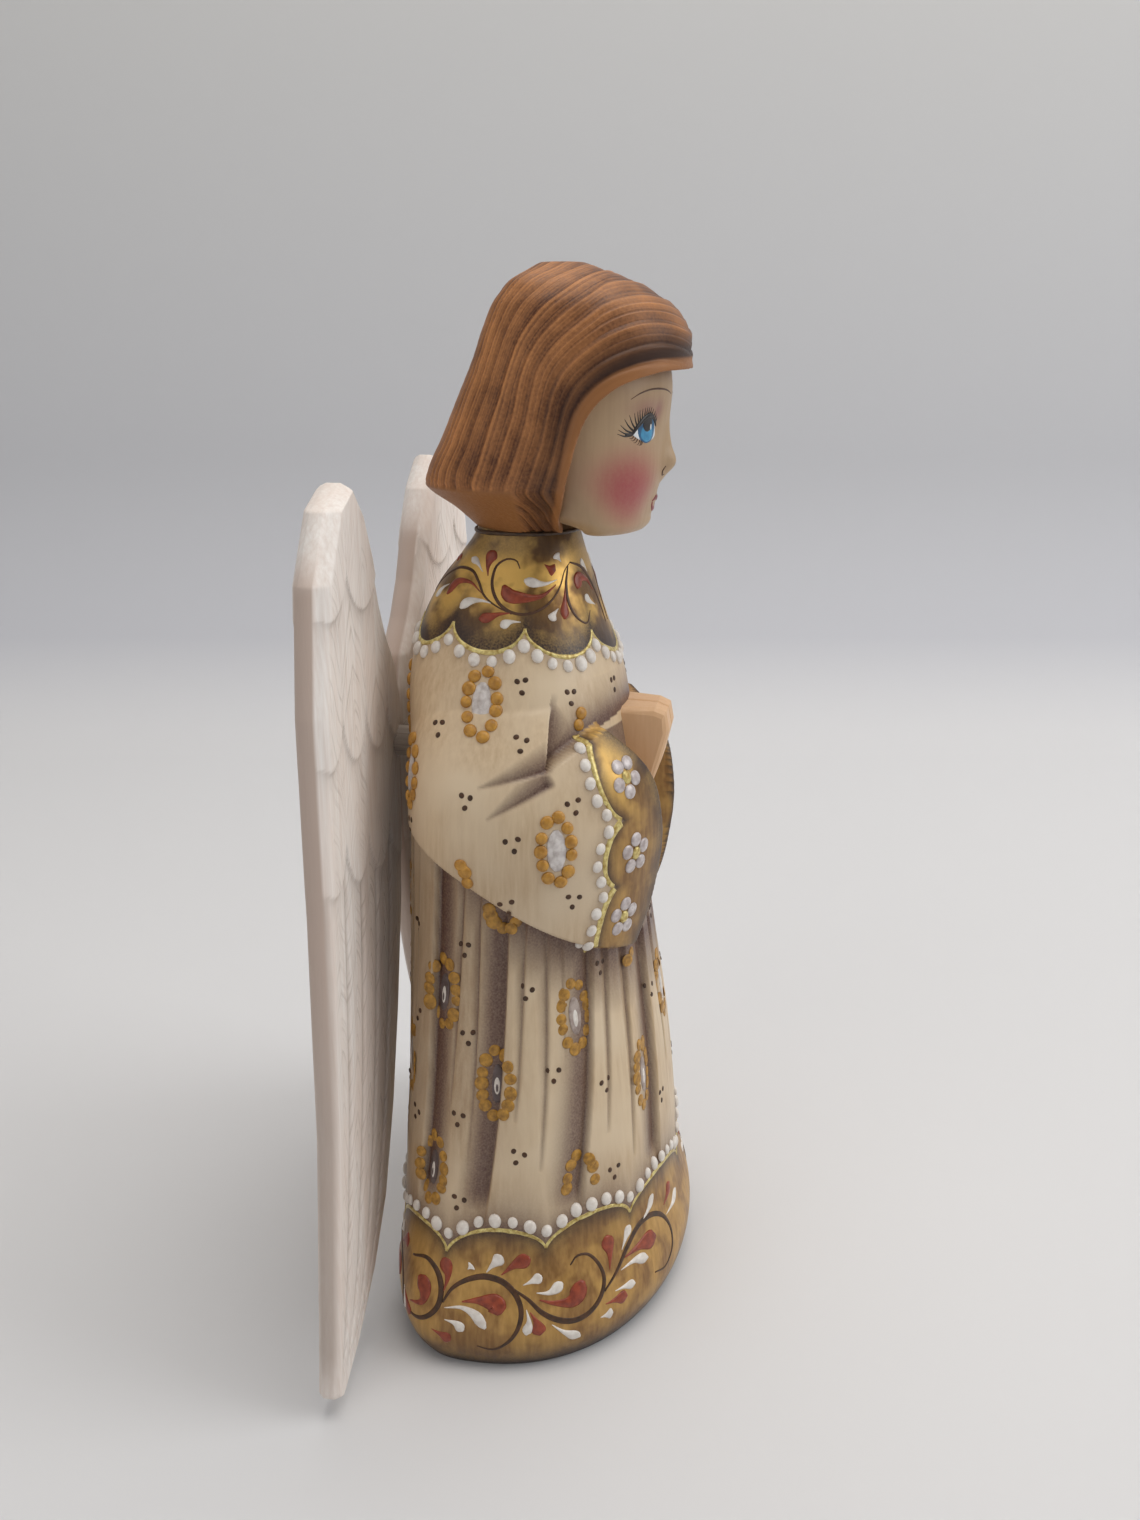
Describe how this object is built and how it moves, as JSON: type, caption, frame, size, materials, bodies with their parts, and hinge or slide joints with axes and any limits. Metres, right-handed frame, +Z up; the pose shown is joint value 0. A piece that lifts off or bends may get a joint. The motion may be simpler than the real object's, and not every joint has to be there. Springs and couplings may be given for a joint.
{
  "type": "wooden angel figurine",
  "caption": "Free-standing carved and painted wooden angel in a long pleated robe with bell sleeves, bobbed hair, praying hands and pegged wings that pull off its back.",
  "frame": {"origin": "centre of the flat underside of the robe, between its widest points at the sides", "axes": "+Z up the figure, -Y the way the figure faces, -X its right side"},
  "size_m": [0.1168, 0.0605, 0.19],
  "materials": {
    "painted_robe": "linden wood with cream paint, airbrushed folds, gold trim and satin lacquer",
    "painted_head": "linden wood, brown stained hair and cream painted face under satin lacquer",
    "painted_skin": "linden wood painted peach under satin lacquer",
    "whitewashed_wing": "tool-cut linden wood with a thin matt whitewash",
    "bare_dowel": "plain turned dowel"
  },
  "bodies": {
    "figure": {"robe_body": "painted_robe", "neck_dowel": "bare_dowel", "head": "painted_head", "hand_right": "painted_skin", "hand_left": "painted_skin"},
    "wing_right": {"wing_right": "whitewashed_wing", "wing_peg_right": "bare_dowel"},
    "wing_left": {"wing_left": "whitewashed_wing", "wing_peg_left": "bare_dowel"}
  },
  "joints": [
    {"name": "wing_right_slide", "type": "slide", "parent": "figure", "child": "wing_right", "axis": [0, 1, 0], "range_m": [0, 0.012]},
    {"name": "wing_left_slide", "type": "slide", "parent": "figure", "child": "wing_left", "axis": [0, 1, 0], "range_m": [0, 0.012]}
  ]
}
